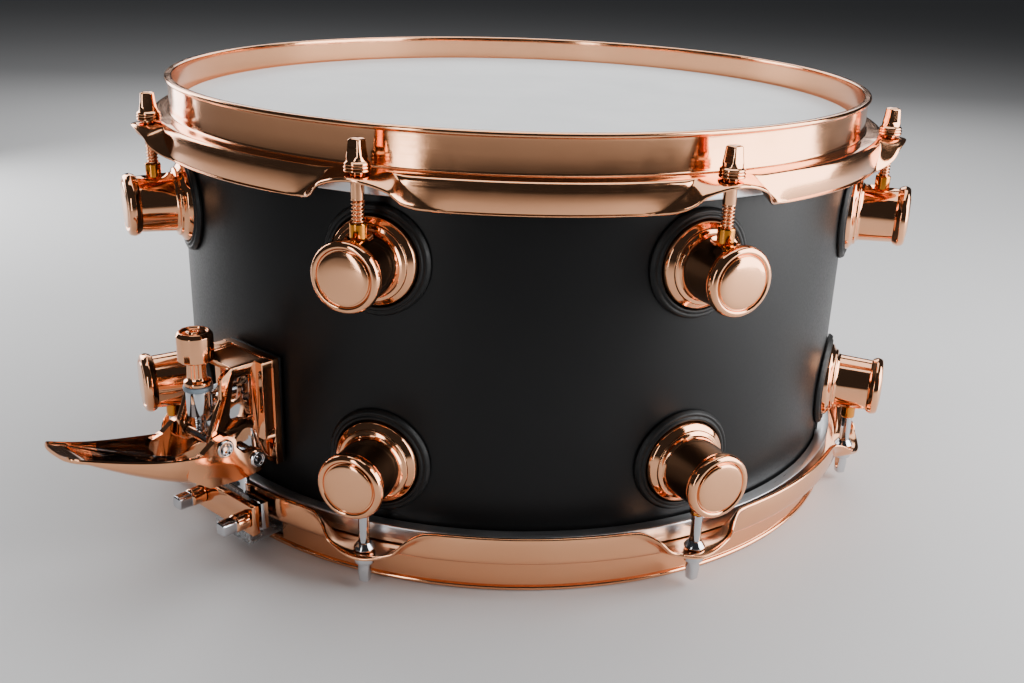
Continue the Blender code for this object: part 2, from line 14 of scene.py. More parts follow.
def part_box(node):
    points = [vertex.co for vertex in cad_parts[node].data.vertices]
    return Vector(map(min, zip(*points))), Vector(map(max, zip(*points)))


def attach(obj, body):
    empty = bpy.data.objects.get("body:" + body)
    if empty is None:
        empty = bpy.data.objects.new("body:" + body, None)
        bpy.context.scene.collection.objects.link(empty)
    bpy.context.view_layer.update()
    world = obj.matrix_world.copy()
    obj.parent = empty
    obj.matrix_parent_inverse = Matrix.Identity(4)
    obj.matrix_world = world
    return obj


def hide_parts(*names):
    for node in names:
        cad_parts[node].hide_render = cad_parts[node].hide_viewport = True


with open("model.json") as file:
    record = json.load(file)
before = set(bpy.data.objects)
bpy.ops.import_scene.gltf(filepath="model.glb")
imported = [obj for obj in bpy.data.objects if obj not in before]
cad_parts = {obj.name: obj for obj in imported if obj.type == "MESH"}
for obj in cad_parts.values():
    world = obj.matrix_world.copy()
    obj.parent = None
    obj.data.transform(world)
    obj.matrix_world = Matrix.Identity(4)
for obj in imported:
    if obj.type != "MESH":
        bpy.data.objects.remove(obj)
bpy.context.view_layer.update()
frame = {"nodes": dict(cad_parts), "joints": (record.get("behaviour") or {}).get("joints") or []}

MM = 0.001

# Places read from the frame
SHELL_LOW, SHELL_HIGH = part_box("shell")
SHELL_R = SHELL_HIGH.x
MID_Z = (SHELL_LOW.z + SHELL_HIGH.z) / 2
JOINTS = {joint["name"]: joint for joint in frame["joints"]}
PIVOT = Vector(JOINTS["lever_hinge"]["pos_m"])
ROD_R0 = math.hypot(*JOINTS["batter_rod_1_turn"]["pos_m"][:2])
LUG_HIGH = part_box("batter_lug_1")[1]
RECEIVER_TOP = 19.6 * MM
LUG_Z = LUG_HIGH.z - RECEIVER_TOP - MID_Z

LUG_COUNT = 8
FIRST_LUG = math.radians(22.5)
LUG_ANGLES = [FIRST_LUG + k * math.tau / LUG_COUNT for k in range(LUG_COUNT)]

# The throw-off's and the butt's own frames: X out of the drum, Z from mid-shell
THROWOFF = Matrix.Translation((0, 0, MID_Z)) @ Matrix.Rotation(math.pi, 4, "Z")
BUTT = Matrix.Translation((0, 0, MID_Z))
OVER = Matrix.Translation((0, 0, 2 * MID_Z)) @ Matrix.Rotation(math.pi, 4, "X")
LEVER_RAISED = math.radians(14.0)
SCREW_AXIS = -PIVOT.x


# ------------------------------------------------------------------ camera


def make_camera():
    """The photograph's viewpoint, low in front of the throw-off's left side."""
    turn = Matrix.Rotation(math.radians(-48.5), 3, "Z")
    place = turn @ Vector((-4.6, -612.0, 180.0)) * MM
    pitch = math.radians(20.8)
    yaw = math.radians(0.5)
    roll = math.radians(1.66)
    ahead = Vector((0, math.cos(pitch), -math.sin(pitch)))
    right = Vector((1, 0, 0))
    up = right.cross(ahead)
    ahead, right = (
        math.cos(yaw) * ahead + math.sin(yaw) * right,
        math.cos(yaw) * right - math.sin(yaw) * ahead,
    )
    right, up = (
        math.cos(roll) * right + math.sin(roll) * up,
        math.cos(roll) * up - math.sin(roll) * right,
    )
    axes = turn @ Matrix((right, up, -ahead)).transposed()
    data = bpy.data.cameras.new("photo_view")
    data.sensor_width = 36.0
    data.lens = 36.0 * 1112 / 1024
    camera = bpy.data.objects.new("photo_view", data)
    bpy.context.scene.collection.objects.link(camera)
    camera.matrix_world = Matrix.Translation(place + Vector((0, 0, MID_Z))) @ axes.to_4x4()
    bpy.context.scene.camera = camera


# ------------------------------------------------------------------- looks


class Look:
    """A node material, with short calls for the nodes it is made of."""

    def __init__(self, name, metallic, roughness):
        self.material = bpy.data.materials.new(name)
        self.material.use_nodes = True
        self.tree = self.material.node_tree
        self.shader = self.tree.nodes["Principled BSDF"]
        self.shader.inputs["Metallic"].default_value = metallic
        self.shader.inputs["Roughness"].default_value = roughness
        self.place = self.tree.nodes.new("ShaderNodeTexCoord").outputs["Object"]

    def put(self, socket, value):
        if isinstance(value, bpy.types.NodeSocket):
            self.tree.links.new(value, socket)
        else:
            socket.default_value = value

    def math(self, operation, first, second=0.0):
        node = self.tree.nodes.new("ShaderNodeMath")
        node.operation = operation
        self.put(node.inputs[0], first)
        self.put(node.inputs[1], second)
        return node.outputs[0]

    def noise(self, scale, detail=3.0, rough=0.5, place=None):
        node = self.tree.nodes.new("ShaderNodeTexNoise")
        node.inputs["Scale"].default_value = scale
        node.inputs["Detail"].default_value = detail
        node.inputs["Roughness"].default_value = rough
        self.put(node.inputs["Vector"], place or self.place)
        return node.outputs["Fac"]

    def span(self, value, low, high, start=0.3, end=0.7):
        """The value's middle range mapped to low..high."""
        node = self.tree.nodes.new("ShaderNodeMapRange")
        node.inputs["From Min"].default_value = start
        node.inputs["From Max"].default_value = end
        node.inputs["To Min"].default_value = low
        node.inputs["To Max"].default_value = high
        self.put(node.inputs["Value"], value)
        return node.outputs["Result"]

    def mix(self, share, first, second):
        node = self.tree.nodes.new("ShaderNodeMix")
        node.data_type = "RGBA"
        self.put(node.inputs["Factor"], share)
        self.put(node.inputs["A"], (*first, 1.0))
        self.put(node.inputs["B"], (*second, 1.0))
        return node.outputs["Result"]

    def rings(self, along, across):
        """Coordinates for marks that run round the Z axis."""
        split = self.tree.nodes.new("ShaderNodeSeparateXYZ")
        self.put(split.inputs[0], self.place)
        x, y, z = split.outputs
        radius = self.math("SQRT", self.math("ADD", self.math("MULTIPLY", x, x),
                                             self.math("MULTIPLY", y, y)))
        turn = self.math("ARCTAN2", y, x)
        join = self.tree.nodes.new("ShaderNodeCombineXYZ")
        self.put(join.inputs[0], self.math("MULTIPLY", radius, across))
        self.put(join.inputs[1], self.math("MULTIPLY", turn, along))
        self.put(join.inputs[2], self.math("MULTIPLY", z, across))
        return join.outputs[0]

    def colour(self, value):
        self.put(self.shader.inputs["Base Color"], value)

    def roughness(self, value):
        self.put(self.shader.inputs["Roughness"], value)

    def bump(self, height, distance, strength=1.0):
        node = self.tree.nodes.new("ShaderNodeBump")
        node.inputs["Strength"].default_value = strength
        node.inputs["Distance"].default_value = distance
        self.put(node.inputs["Height"], height)
        self.put(self.shader.inputs["Normal"], node.outputs["Normal"])


def plated(name, light, deep, smooth, dull, peel):
    """Polished plating with faint smudges and a little orange peel."""
    look = Look(name, 1.0, smooth)
    look.colour(look.mix(look.noise(45.0, 3.0), light, deep))
    look.roughness(look.span(look.noise(120.0, 6.0, 0.65), smooth, dull))
    look.bump(look.noise(420.0, 2.0), peel)
    return look.material


def hoop_copper():
    """Copper plate over sheet that was brushed round the hoop before plating."""
    look = Look("hoop_copper", 1.0, 0.12)
    brushed = look.noise(1.0, 4.0, 0.6, look.rings(7.0, 2600.0))
    look.colour(look.mix(look.noise(30.0, 4.0), (0.93, 0.46, 0.245), (0.84, 0.385, 0.195)))
    worn = look.math("MULTIPLY", look.noise(90.0, 5.0, 0.6), brushed)
    look.roughness(look.span(worn, 0.075, 0.19, 0.1, 0.4))
    peel = look.math("MULTIPLY", look.noise(260.0, 2.0), 2.5)
    look.bump(look.math("ADD", brushed, peel), 0.0035 * MM)
    return look.material


def turned_copper():
    """Copper plate over lathe-turned barrels, with faint rings round them."""
    look = Look("turned_copper", 1.0, 0.08)
    rings = look.noise(1.0, 3.0, 0.5, look.rings(1.2, 1500.0))
    look.colour(look.mix(look.noise(70.0, 3.0), (0.94, 0.47, 0.255), (0.86, 0.395, 0.20)))
    look.roughness(look.span(look.noise(160.0, 6.0, 0.6), 0.05, 0.12))
    look.bump(rings, 0.0012 * MM)
    return look.material


def cap_copper():
    """The lugs' end discs: polished, with fine haze that softens reflections."""
    look = Look("cap_copper", 1.0, 0.1)
    look.colour(look.mix(look.noise(90.0, 5.0), (0.93, 0.47, 0.26), (0.86, 0.41, 0.21)))
    look.roughness(look.span(look.noise(220.0, 6.0, 0.7), 0.06, 0.13))
    look.bump(look.noise(500.0, 3.0), 0.004 * MM)
    return look.material


def trough_painted_shade():
    """Inside of the lever's trough: painted shade, a dark copper that stands in
    for the shade and the dark reflections in the trough."""
    look = Look("trough_painted_shade", 1.0, 0.08)
    look.colour(look.mix(look.noise(60.0, 4.0), (0.20, 0.165, 0.15), (0.12, 0.095, 0.085)))
    look.roughness(look.span(look.noise(150.0, 5.0), 0.05, 0.14))
    look.bump(look.noise(240.0, 2.0), 0.006 * MM)
    return look.material


def satin_black():
    look = Look("satin_black", 0.0, 0.4)
    look.colour(look.mix(look.noise(25.0, 4.0), (0.004, 0.004, 0.0042), (0.0065, 0.0065, 0.0068)))
    look.roughness(look.span(look.noise(900.0, 3.0), 0.36, 0.46))
    look.bump(look.noise(5200.0, 2.0), 0.006 * MM)
    look.shader.inputs["Specular IOR Level"].default_value = 0.22
    return look.material


def maple():
    """The shell's inside face, with grain that runs round the drum."""
    look = Look("maple", 0.0, 0.5)
    grain = look.noise(1.0, 6.0, 0.65, look.rings(9.0, 420.0))
    look.colour(look.mix(look.span(grain, 0.0, 1.0), (0.56, 0.37, 0.20), (0.40, 0.24, 0.115)))
    look.roughness(look.span(grain, 0.42, 0.6))
    look.bump(grain, 0.03 * MM)
    return look.material


def coated_film():
    """Sprayed white coating: a fine gritty tooth and cloudy thin patches."""
    look = Look("coated_film", 0.0, 0.6)
    cloud = look.noise(16.0, 5.0, 0.6)
    look.colour(look.mix(look.span(cloud, 0.0, 1.0), (0.80, 0.81, 0.82), (0.70, 0.715, 0.73)))
    grit = look.noise(2600.0, 3.0, 0.6)
    look.roughness(look.span(grit, 0.5, 0.72))
    look.bump(grit, 0.035 * MM)
    return look.material


def clear_film():
    """Hazy translucent film of the snare head and the straps."""
    look = Look("clear_film", 0.0, 0.3)
    look.colour(look.mix(look.noise(20.0, 3.0), (0.86, 0.88, 0.90), (0.80, 0.83, 0.86)))
    look.roughness(look.span(look.noise(300.0, 4.0), 0.22, 0.36))
    look.shader.inputs["Transmission Weight"].default_value = 0.75
    look.shader.inputs["IOR"].default_value = 1.3
    look.bump(look.noise(300.0, 2.0), 0.003 * MM)
    return look.material


def rubber():
    look = Look("black_rubber", 0.0, 0.5)
    look.colour(look.mix(look.noise(200.0, 4.0), (0.003, 0.003, 0.003), (0.006, 0.006, 0.006)))
    look.roughness(look.span(look.noise(500.0, 4.0), 0.4, 0.58))
    look.bump(look.noise(3000.0, 3.0), 0.015 * MM)
    look.shader.inputs["Specular IOR Level"].default_value = 0.3
    return look.material


def brass():
    """Turned receiver tubes, warmer and more orange than the plate."""
    look = Look("brass", 1.0, 0.18)
    look.colour(look.mix(look.noise(300.0, 3.0), (0.80, 0.30, 0.045), (0.70, 0.25, 0.032)))
    look.roughness(look.span(look.noise(700.0, 4.0), 0.1, 0.22))
    look.bump(look.noise(1.0, 2.0, 0.5, look.rings(0.6, 3500.0)), 0.003 * MM)
    return look.material


def alloy():
    look = Look("rolled_alloy", 1.0, 0.35)
    look.colour(look.mix(look.noise(60.0, 4.0), (0.70, 0.71, 0.73), (0.58, 0.59, 0.61)))
    look.roughness(look.span(look.noise(1.0, 4.0, 0.6, look.rings(8.0, 1800.0)), 0.26, 0.42))
    look.bump(look.noise(1.0, 4.0, 0.6, look.rings(8.0, 2400.0)), 0.006 * MM)
    return look.material


def nylon():
    look = Look("grey_nylon", 0.0, 0.4)
    look.colour(look.mix(look.noise(400.0, 3.0), (0.27, 0.34, 0.40), (0.22, 0.28, 0.34)))
    look.roughness(look.span(look.noise(900.0, 3.0), 0.34, 0.48))
    look.bump(look.noise(2500.0, 2.0), 0.006 * MM)
    return look.material


HOOP_COPPER = hoop_copper()
TURNED_COPPER = turned_copper()
CAP_COPPER = cap_copper()
# Painted shade: dark copper for the inner wall of the lever's trough
TROUGH_PAINTED_SHADE = trough_painted_shade()
COPPER = plated("copper_plate", (0.94, 0.47, 0.255), (0.86, 0.395, 0.20), 0.045, 0.12, 0.004 * MM)
CHROME = plated("chrome_plate", (0.66, 0.67, 0.69), (0.55, 0.56, 0.585), 0.04, 0.12, 0.003 * MM)
STEEL = plated("spring_steel", (0.56, 0.56, 0.57), (0.44, 0.44, 0.45), 0.16, 0.30, 0.003 * MM)
BLACK = satin_black()
MAPLE = maple()
COATED = coated_film()
CLEAR = clear_film()
RUBBER = rubber()
BRASS = brass()
ALLOY = alloy()
NYLON = nylon()


# ----------------------------------------------------------------- helpers


def smooth(share):
    share = max(0.0, min(1.0, share))
    return share * share * (3.0 - 2.0 * share)


def finished(bm, name, looks, sharp=32.0):
    """A mesh from bm, facing out and smooth except at its sharp edges."""
    bmesh.ops.recalc_face_normals(bm, faces=bm.faces)
    mesh = bpy.data.meshes.new(name)
    bm.to_mesh(mesh)
    bm.free()
    for look in looks:
        mesh.materials.append(look)
    mesh.shade_smooth()
    mesh.set_sharp_from_angle(angle=math.radians(sharp))
    return mesh


def piece(name, mesh, body, nodes, place=None, settled=False):
    """A piece of the model. With settled, its place goes into its own mesh."""
    if settled:
        mesh = mesh.copy()
        mesh.transform(place)
        place = None
    obj = bpy.data.objects.new(name, mesh)
    bpy.context.scene.collection.objects.link(obj)
    if place is not None:
        obj.matrix_world = place
    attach(obj, body)
    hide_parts(*nodes)
    return obj


def arc(centre, radius, start, end, steps):
    """Points on an arc, with angles in degrees."""
    points = []
    for k in range(steps + 1):
        angle = math.radians(start + (end - start) * k / steps)
        points.append((centre[0] + radius * math.cos(angle), centre[1] + radius * math.sin(angle)))
    return points


def rounded(corners, steps=4):
    """An open line through corners (a, b, radius), each rounded by an arc."""
    points = []
    for k, (a, b, radius) in enumerate(corners):
        here = Vector((a, b))
        if radius <= 0 or k in (0, len(corners) - 1):
            points.append((a, b))
            continue
        before = (Vector(corners[k - 1][:2]) - here).normalized()
        after = (Vector(corners[k + 1][:2]) - here).normalized()
        half = before.angle(after) / 2
        reach = radius / math.tan(half)
        centre = here + (before + after).normalized() * radius / math.sin(half)
        first = here + before * reach - centre
        last = here + after * reach - centre
        start = math.atan2(first.y, first.x)
        sweep = math.atan2(last.y, last.x) - start
        sweep = (sweep + math.pi) % math.tau - math.pi
        for j in range(steps + 1):
            angle = start + sweep * j / steps
            points.append((centre.x + radius * math.cos(angle), centre.y + radius * math.sin(angle)))
    return points


def skin(bm, rings, around=True, loop=False, look=0):
    """Faces between rings of vertices; a ring of one vertex is a pole."""
    pairs = list(zip(rings, rings[1:]))
    if loop:
        pairs.append((rings[-1], rings[0]))
    made = []
    for near, far in pairs:
        count = max(len(near), len(far))
        for i in range(count if around else count - 1):
            j = (i + 1) % count
            corners = [near[i % len(near)], near[j % len(near)], far[j % len(far)], far[i % len(far)]]
            corners = list(dict.fromkeys(corners))
            if len(corners) > 2:
                face = bm.faces.new(corners)
                face.material_index = look
                made.append(face)
    return made


def lathe(bm, profile, steps, loop=False, look=0, radius_at=None, unit=MM):
    """Turns a profile of (radius, height) round Z. radius_at(radius, height,
    angle) can change the radius, for flutes, threads or facets."""
    rings = []
    for radius, height in profile:
        if radius < 1e-6:
            rings.append([bm.verts.new((0.0, 0.0, height * unit))])
            continue
        ring = []
        for k in range(steps):
            angle = math.tau * k / steps
            r = radius_at(radius, height, angle) if radius_at else radius
            ring.append(bm.verts.new((r * unit * math.cos(angle), r * unit * math.sin(angle),
                                      height * unit)))
        rings.append(ring)
    return skin(bm, rings, loop=loop, look=look)


def block(bm, low, high, unit=MM):
    """A box between two corners, in millimetres."""
    low = Vector(low) * unit
    high = Vector(high) * unit
    place = Matrix.Translation((low + high) / 2) @ Matrix.Diagonal((*(high - low), 1.0))
    return bmesh.ops.create_cube(bm, size=1.0, matrix=place)["verts"]


def rod_between(bm, radius, start, end, sides=24, unit=MM):
    start = Vector(start) * unit
    end = Vector(end) * unit
    turn = (end - start).to_track_quat("Z", "Y").to_matrix().to_4x4()
    bmesh.ops.create_cone(
        bm, cap_ends=True, segments=sides, radius1=radius * unit, radius2=radius * unit,
        depth=(end - start).length, matrix=Matrix.Translation((start + end) / 2) @ turn,
    )


def plate(bm, outline, y_low, y_high, unit=MM):
    """An outline of (x, z) points as a plate from y_low to y_high."""
    rings = []
    for y in (y_low, y_high):
        rings.append([bm.verts.new((x * unit, y * unit, z * unit)) for x, z in outline])
    skin(bm, rings)
    for ring in rings:
        bm.faces.new(ring)


def solid(draw, name="solid"):
    """An object of what draw(bm) makes, for the Boolean steps below."""
    bm = bmesh.new()
    draw(bm)
    bmesh.ops.recalc_face_normals(bm, faces=bm.faces)
    mesh = bpy.data.meshes.new(name)
    bm.to_mesh(mesh)
    bm.free()
    obj = bpy.data.objects.new(name, mesh)
    bpy.context.scene.collection.objects.link(obj)
    return obj


def shaped(base, steps, name, looks, bevel=0.0, segments=3, sharp=32.0, bevel_angle=30.0):
    """Applies Boolean steps (operation, object) and a bevel to base, removes
    all of these objects and returns the mesh."""
    for operation, other in steps:
        modifier = base.modifiers.new(operation, "BOOLEAN")
        modifier.operation = operation
        modifier.solver = "EXACT"
        modifier.object = other
    if bevel:
        weld = base.modifiers.new("weld", "WELD")
        weld.merge_threshold = 0.002 * MM
        rounding = base.modifiers.new("bevel", "BEVEL")
        rounding.width = bevel * MM
        rounding.segments = segments
        rounding.limit_method = "ANGLE"
        rounding.angle_limit = math.radians(bevel_angle)
        rounding.harden_normals = False
    graph = bpy.context.evaluated_depsgraph_get()
    bpy.context.view_layer.update()
    mesh = bpy.data.meshes.new_from_object(base.evaluated_get(graph))
    mesh.name = name
    for obj in [base] + [other for _, other in steps]:
        bpy.data.objects.remove(obj, do_unlink=True)
    mesh.materials.clear()
    for look in looks:
        mesh.materials.append(look)
    mesh.shade_smooth()
    mesh.set_sharp_from_angle(angle=math.radians(sharp))
    return mesh


def dress(node, look, bevel=0.35):
    """A CAD node that stays: its look, and a small round on its edges."""
    obj = frame["nodes"][node]
    obj.data.materials.clear()
    obj.data.materials.append(look)
    weld = obj.modifiers.new("weld", "WELD")
    weld.merge_threshold = 0.005 * MM
    rounding = obj.modifiers.new("bevel", "BEVEL")
    rounding.width = bevel * MM
    rounding.segments = 3
    rounding.limit_method = "ANGLE"
    rounding.angle_limit = math.radians(35.0)
    obj.data.shade_smooth()


# ------------------------------------------------------------- shell, heads


def make_shell():
    outer = SHELL_R / MM
    inner = outer - 8.0
    top = SHELL_HIGH.z / MM
    bottom = SHELL_LOW.z / MM

    def wall(bm):
        outside = rounded(
            [(inner, top - 5.5, 0), (outer - 2.5, top, 0.8), (outer, top - 2.5, 1.2),
             (outer, bottom + 2.5, 1.2), (outer - 2.5, bottom, 0.8), (inner, bottom + 5.5, 0)]
        )
        lathe(bm, outside, 288)
        rings_of = {}
        for vert in bm.verts:
            rings_of.setdefault(round(vert.co.z / MM, 3), []).append(vert)
        ends = [rings_of[round(z, 3)] for z in (top - 5.5, bottom + 5.5)]
        for face in skin(bm, ends):
            face.material_index = 1

    def vent(bm):
        turn = Matrix.Rotation(math.radians(45.0), 4, "Z")
        rod_between(bm, 6.0, (160, 0, MID_Z / MM), (190, 0, MID_Z / MM), 48)
        bmesh.ops.transform(bm, matrix=turn, verts=bm.verts)

    mesh = shaped(solid(wall), [("DIFFERENCE", solid(vent))], "shell_wall", [BLACK, MAPLE], sharp=28.0)
    piece("shell_wall", mesh, "drum", ["shell"])

    bm = bmesh.new()
    out = outer - 0.02 + 0.3
    back = outer - 8.8
    profile = rounded(
        [(5.6, back, 0), (5.6, out, 0), (8.2, out, 0), (8.0, out + 1.0, 0.5), (4.4, out + 1.6, 0.7),
         (3.5, out + 0.6, 0.6), (3.5, back - 0.8, 0.3), (8.0, back - 0.8, 0.3), (8.0, back, 0)]
    )
    lathe(bm, profile, 64, loop=True)
    place = Matrix.Translation((0, 0, MID_Z)) @ Matrix.Rotation(math.radians(45.0), 4, "Z")
    mesh = finished(bm, "vent_grommet_ring", [COPPER])
    piece("vent_grommet_ring", mesh, "drum", ["vent_grommet"],
          place @ Matrix.Rotation(math.pi / 2, 4, "Y"))


def make_heads():
    for side, look, slot in (("batter", COATED, "coated_film"), ("snare", CLEAR, "clear_film")):
        bm = bmesh.new()
        profile = [(r, 0.0) for r in (0.0, 20.0, 45.0, 70.0, 95.0, 120.0, 145.0, 165.0)]
        profile += rounded([(172.0, 0.0, 0), (176.6, 0.0, 1.6), (178.8, -2.6, 1.0), (178.8, -8.0, 0)])
        profile += rounded([(178.15, -8.0, 0), (178.15, -3.0, 0.8), (176.3, -0.6, 1.2), (172.0, -0.6, 0)])
        profile += [(r, -0.6) for r in (165.0, 145.0, 120.0, 95.0, 70.0, 45.0, 20.0, 0.0)]
        lathe(bm, profile, 256)
        over = OVER if side == "snare" else Matrix()
        piece(f"{side}_head_film", finished(bm, f"{side}_head_film", [look]), "drum",
              [f"{side}_film"], over)
        bm = bmesh.new()
        ring = rounded(
            [(179.1, -6.6, 0), (184.6, -6.6, 0.5), (184.8, -14.8, 0.6), (182.0, -15.0, 0.4),
             (179.1, -15.0, 0)]
        )
        lathe(bm, ring, 256, loop=True)
        piece(f"{side}_head_ring", finished(bm, f"{side}_head_ring", [ALLOY]), "drum",
              [f"{side}_collar"], over)


# ------------------------------------------------------------------- hoops

HALF_SHEET = 1.15
WALL_R = 180.65
FLANGE_Z = -4.95
BEND_START = 188.3
BEND_RADIUS = 1.9
SKIRT = 10.5
EAR_HALF = math.radians(9.5)
EAR_DROOP = math.radians(3.0)
APEX_SHARE = 0.46
APEX_FOLD = math.radians(24.0)
FULL_FOLD = math.radians(88.0)

# Opening in the snare hoop for the straps: half width, and heights above the
# hoop's own head
GATE_HALF = 17.5
GATE_LOW = MID_Z / MM + 91.8
GATE_HIGH = MID_Z / MM + 100.3


def skirt_shape(away):
    """The skirt's two fold angles, the length of its upper part and its whole
    length, at an angle away from the middle of an ear. Beside the ear the
    upper part is folded right down and the lower part still lies flatter,
    which leaves the V-shaped crease."""
    share = min(away / EAR_HALF, 1.0)
    length = SKIRT + 2.6 * (1.0 - smooth(share / 0.55))
    if share < APEX_SHARE:
        fold = EAR_DROOP + (APEX_FOLD - EAR_DROOP) * (share / APEX_SHARE) ** 2
        return fold, fold, 0.001, length
    past = (share - APEX_SHARE) / (1.0 - APEX_SHARE)
    upper = APEX_FOLD + (FULL_FOLD - APEX_FOLD) * smooth(past / 0.22)
    lower = APEX_FOLD + (FULL_FOLD - APEX_FOLD) * smooth(past) * (0.5 + 0.5 * past)
    return upper, lower, max(0.001, past * length), length


def hoop_outline(away):
    """The closed outline of the hoop's sheet, as (r, z) in millimetres."""
    upper, lower, knee, length = skirt_shape(away)
    middle = [(WALL_R, 10.0), (WALL_R, 4.0)]
    middle += arc((WALL_R + 2.3, FLANGE_Z + 2.3), 2.3, 180, 270, 6)
    middle.append((BEND_START, FLANGE_Z))
    a, b = BEND_START, FLANGE_Z
    steps = 6
    for k in range(steps):
        turn = upper * (k + 0.5) / steps
        a += BEND_RADIUS * upper / steps * math.cos(turn)
        b -= BEND_RADIUS * upper / steps * math.sin(turn)
        middle.append((a, b))
    for part in (0.5, 1.0):
        middle.append((a + knee * part * math.cos(upper), b - knee * part * math.sin(upper)))
    a, b = middle[-1]
    rest = length - knee
    turns = 4
    for k in range(turns):
        turn = upper + (lower - upper) * (k + 0.5) / turns
        step = min(0.35, rest * 0.1)
        a += step * math.cos(turn)
        b -= step * math.sin(turn)
        middle.append((a, b))
    rest = max(0.2, rest - turns * min(0.35, rest * 0.1))
    for part in (0.35, 0.7, 1.0):
        middle.append((a + rest * part * math.cos(lower), b - rest * part * math.sin(lower)))
    line = [Vector(point) for point in middle]
    outer = []
    inner = []
    for k, point in enumerate(line):
        along = (line[min(k + 1, len(line) - 1)] - line[max(k - 1, 0)]).normalized()
        across = Vector((-along.y, along.x))
        outer.append(point + across * HALF_SHEET)
        inner.append(point - across * HALF_SHEET)
    end = line[-1]
    along = (line[-1] - line[-2]).normalized()
    across = Vector((-along.y, along.x))
    nose = []
    for k in range(1, 6):
        angle = math.pi / 2 - math.pi * k / 6
        nose.append(end + across * HALF_SHEET * math.sin(angle) + along * 0.8 * math.cos(angle))
    bead = arc((WALL_R - 0.15, 12.45), 1.0, 180, 90, 4)
    bead += arc((WALL_R + 1.4, 12.3), 1.15, 90, -90, 8)
    bead += [(WALL_R + 1.2, 10.95)]
    return [Vector(point) for point in bead] + outer + nose + inner[::-1]


def hoop_angles():
    pitch = math.tau / LUG_COUNT
    ear = [EAR_HALF * k / 30 for k in range(31)]
    rest = [EAR_HALF + (pitch / 2 - EAR_HALF) * k / 9 for k in range(1, 10)]
    half = ear + rest
    steps = [-a for a in reversed(half[1:-1])] + half
    return [(lug + step, abs(step)) for lug in LUG_ANGLES for step in steps]


def make_hoop(side):
    def sheet(bm):
        rings = []
        for angle, away in hoop_angles():
            c, s = math.cos(angle) * MM, math.sin(angle) * MM
            rings.append([bm.verts.new((p.x * c, p.x * s, p.y * MM)) for p in hoop_outline(away)])
        skin(bm, rings, loop=True)
        skirt = [vert for vert in bm.verts if math.hypot(vert.co.x, vert.co.y) > 186.6 * MM]
        for _ in range(7):
            bmesh.ops.smooth_vert(bm, verts=skirt, factor=0.5, use_axis_x=True, use_axis_y=True,
                                  use_axis_z=True)

    def holes(bm):
        for angle in LUG_ANGLES:
            x, y = ROD_R0 / MM * math.cos(angle), ROD_R0 / MM * math.sin(angle)
            rod_between(bm, 3.25, (x, y, -20), (x, y, 5), 24)

    def gates(bm):
        block(bm, (-200, -GATE_HALF, GATE_LOW), (200, GATE_HALF, GATE_HIGH))

    steps = [("DIFFERENCE", solid(holes))]
    place = Matrix()
    if side == "snare":
        steps.append(("DIFFERENCE", solid(gates)))
        place = OVER
    mesh = shaped(solid(sheet), steps, f"{side}_hoop_sheet", [HOOP_COPPER], sharp=40.0)
    piece(f"{side}_hoop_sheet", mesh, "drum", [f"{side}_hoop"], place)


# -------------------------------------------------------------- lugs, rods

LUG_BASE = SHELL_R / MM + 0.3


def hug(bm, reach):
    """Bends the foot of a round piece to the shell; height is out of the drum
    and local X runs round it."""
    for vert in bm.verts:
        height = vert.co.z / MM
        share = 1.0 - smooth(height / reach)
        vert.co.z -= share * vert.co.x**2 / (2 * SHELL_R)


def lug_body_mesh():
    def barrel(bm):
        profile = [(0.0, 0.0)]
        profile += rounded(
            [(19.3, 0.0, 0), (19.75, 1.8, 0.8), (19.0, 3.9, 1.6), (17.1, 5.2, 0.5), (16.7, 5.5, 0.2),
             (16.5, 6.6, 0.7),
             (14.9, 7.0, 0.4), (14.3, 8.0, 0.8), (13.45, 24.1, 0.3), (14.4, 24.9, 0.5),
             (15.25, 27.0, 1.8), (14.6, 29.5, 2.0), (12.5, 30.4, 1.1), (11.75, 29.2, 0.25),
             (11.4, 29.2, 0)],
            5,
        )
        profile += [(0.0, 29.2)]
        lathe(bm, profile, 96)

    def scoop(bm):
        place = Matrix.Translation((0, 17.4 * MM, (ROD_R0 / MM - LUG_BASE) * MM))
        bmesh.ops.create_uvsphere(bm, u_segments=48, v_segments=24, radius=7.3 * MM, matrix=place)

    mesh = shaped(solid(barrel), [("DIFFERENCE", solid(scoop))], "lug_body", [TURNED_COPPER], bevel=0.25,
                  segments=2, sharp=35.0, bevel_angle=50.0)
    bm = bmesh.new()
    bm.from_mesh(mesh)
    hug(bm, 3.0)
    bm.to_mesh(mesh)
    bm.free()
    return mesh


